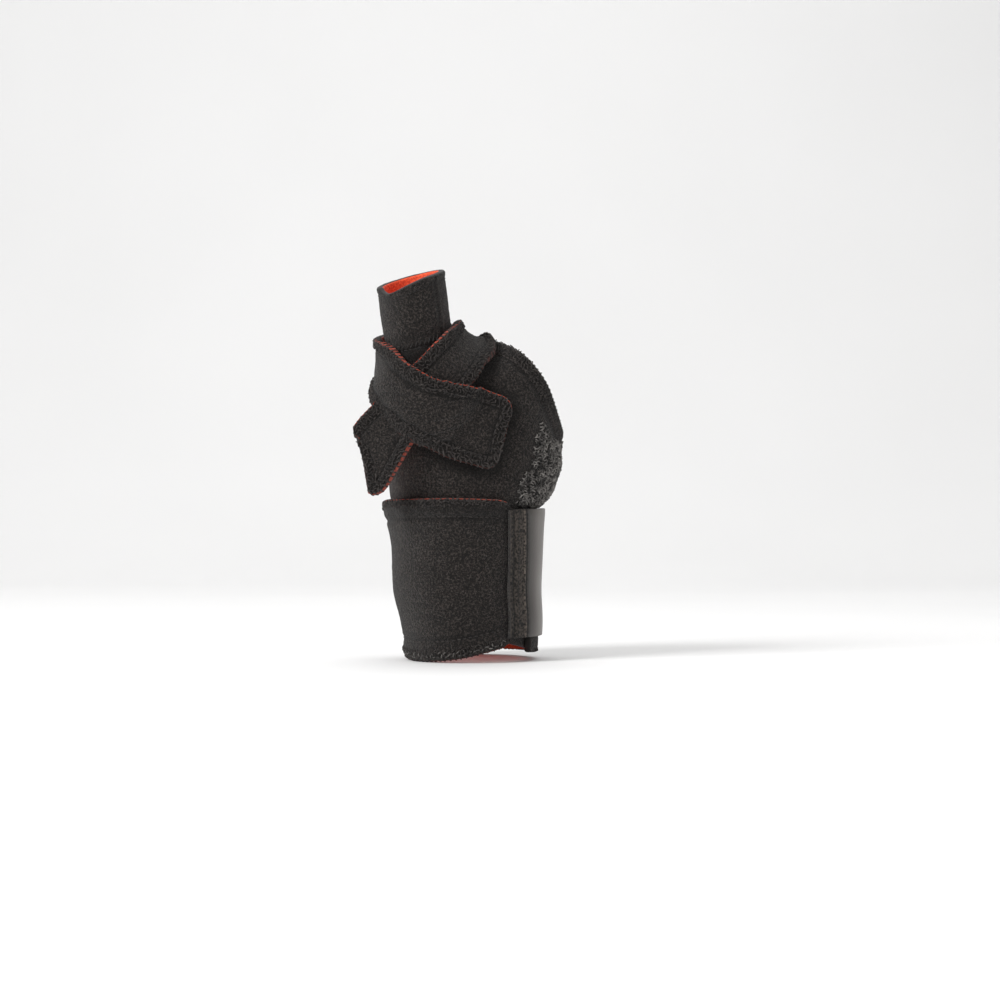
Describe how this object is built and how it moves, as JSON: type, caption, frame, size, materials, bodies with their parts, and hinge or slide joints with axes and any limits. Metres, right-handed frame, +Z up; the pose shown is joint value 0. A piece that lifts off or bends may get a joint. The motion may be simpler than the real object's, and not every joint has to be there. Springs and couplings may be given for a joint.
{
  "type": "thumb wrap",
  "caption": "Right-hand thumb and wrist wrap of padded fabric, fastened as worn, with a thumb sleeve, a strap crossed over the thumb's base and a wrist band with a closure tab.",
  "frame": {"origin": "middle of the wrist opening, level with the lower edge of the wrist band", "axes": "+Z up along the forearm to the fingertips, +X to the back of the hand, -X to the palm side, -Y to the thumb side, +Y to the little finger; the picture looks along +Y"},
  "size_m": [0.0871, 0.0831, 0.164],
  "materials": {
    "body_fabric": "brushed charcoal loop fabric with an orange lining",
    "tab_fabric": "smooth dark grey sheet with a slight sheen"
  },
  "bodies": {
    "root": {"hand_body": "body_fabric", "thumb_sleeve": "body_fabric", "wrist_band": "body_fabric", "thumb_strap": "body_fabric", "closure_tab": "tab_fabric"}
  },
  "joints": []
}
